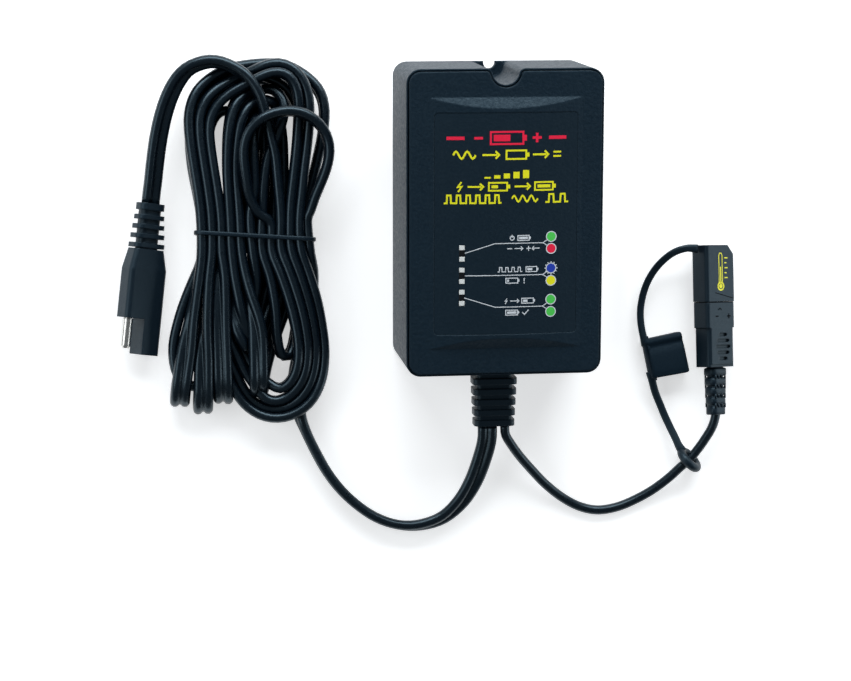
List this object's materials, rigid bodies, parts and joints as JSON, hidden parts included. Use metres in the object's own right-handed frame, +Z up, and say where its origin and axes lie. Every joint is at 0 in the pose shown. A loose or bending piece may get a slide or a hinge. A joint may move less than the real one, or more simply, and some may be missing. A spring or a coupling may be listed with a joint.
{
  "type": "car battery charger",
  "caption": "Wall-plug battery charger: bevelled black case with bowed status panel, ribbed gland, tied flat twin lead with two-pole plug, and a thin lead with clip-on temperature sensor.",
  "frame": {"origin": "centre of the box round the case and its mains blades, on the surface that the charger lies on", "axes": "+Z up from the surface; +Y from the gland end towards the notched end, along the case; +X to the right, seen from above with the gland end towards the viewer. The case is tilted 9.4 degrees about X, because it rests on the tips of its blades"},
  "size_m": [0.2486, 0.1893, 0.0626],
  "materials": {
    "case": "fine moulded texture, satin",
    "label": "printed film, satin",
    "lens": "smoked",
    "diffuser": "milky",
    "rubber": "satin",
    "cord": "glossy",
    "nickel": "satin nickel plate",
    "brass": "bright",
    "steel": "zinc plated",
    "board": "solder mask",
    "ferrite": "matt",
    "bobbin": "moulded",
    "tape": "polyester tape",
    "copper": "enamelled copper",
    "toroid": "coated powder iron",
    "sleeve": "heat-shrunk sleeve",
    "package": "moulded epoxy",
    "sink": "anodised",
    "fuse_body": "glazed",
    "led": "clear epoxy",
    "wire_white": "PVC",
    "wire_red": "PVC"
  },
  "bodies": {
    "charger": {"back_cover": "case", "front_cover": "case", "label_panel": "label", "indicator_lenses": "lens", "light_diffusers": "diffuser", "cover_screws": "steel", "mains_blade_left": "nickel", "mains_blade_right": "nickel", "blade_carrier": "package", "mains_wires": "wire_white", "circuit_board": "board", "board_screws": "steel", "status_leds": "led", "transformer_core": "ferrite", "transformer_bobbin": "bobbin", "transformer_winding": "tape", "choke_core": "toroid", "choke_winding": "copper", "input_capacitor": "sleeve", "output_capacitors": "sleeve", "bridge_rectifier": "package", "power_transistor": "package", "heatsink": "sink", "fuse": "fuse_body", "control_chip": "package", "output_wires": "wire_red", "sensor_wires": "wire_white", "strain_relief": "rubber", "output_lead": "cord", "output_hank": "cord", "output_tail": "cord", "cable_tie": "rubber", "plug_strain_relief": "rubber", "plug_body": "rubber", "plug_pin": "nickel", "plug_socket": "brass", "sensor_lead": "cord", "connector_boot": "rubber", "connector_body": "rubber", "connector_pin": "nickel", "connector_socket": "brass", "tether_ring": "rubber", "tether_strap_lower": "rubber", "dust_cap": "rubber", "tether_strap_upper": "rubber"},
    "sensor": {"sensor_housing": "rubber", "sensor_cover": "rubber", "sensor_pin": "nickel", "sensor_socket": "brass", "thermistor": "package"}
  },
  "joints": [
    {"name": "sensor_unplug", "type": "slide", "parent": "charger", "child": "sensor", "axis": [0, 1, 0], "range_m": [0, 0.014]}
  ]
}
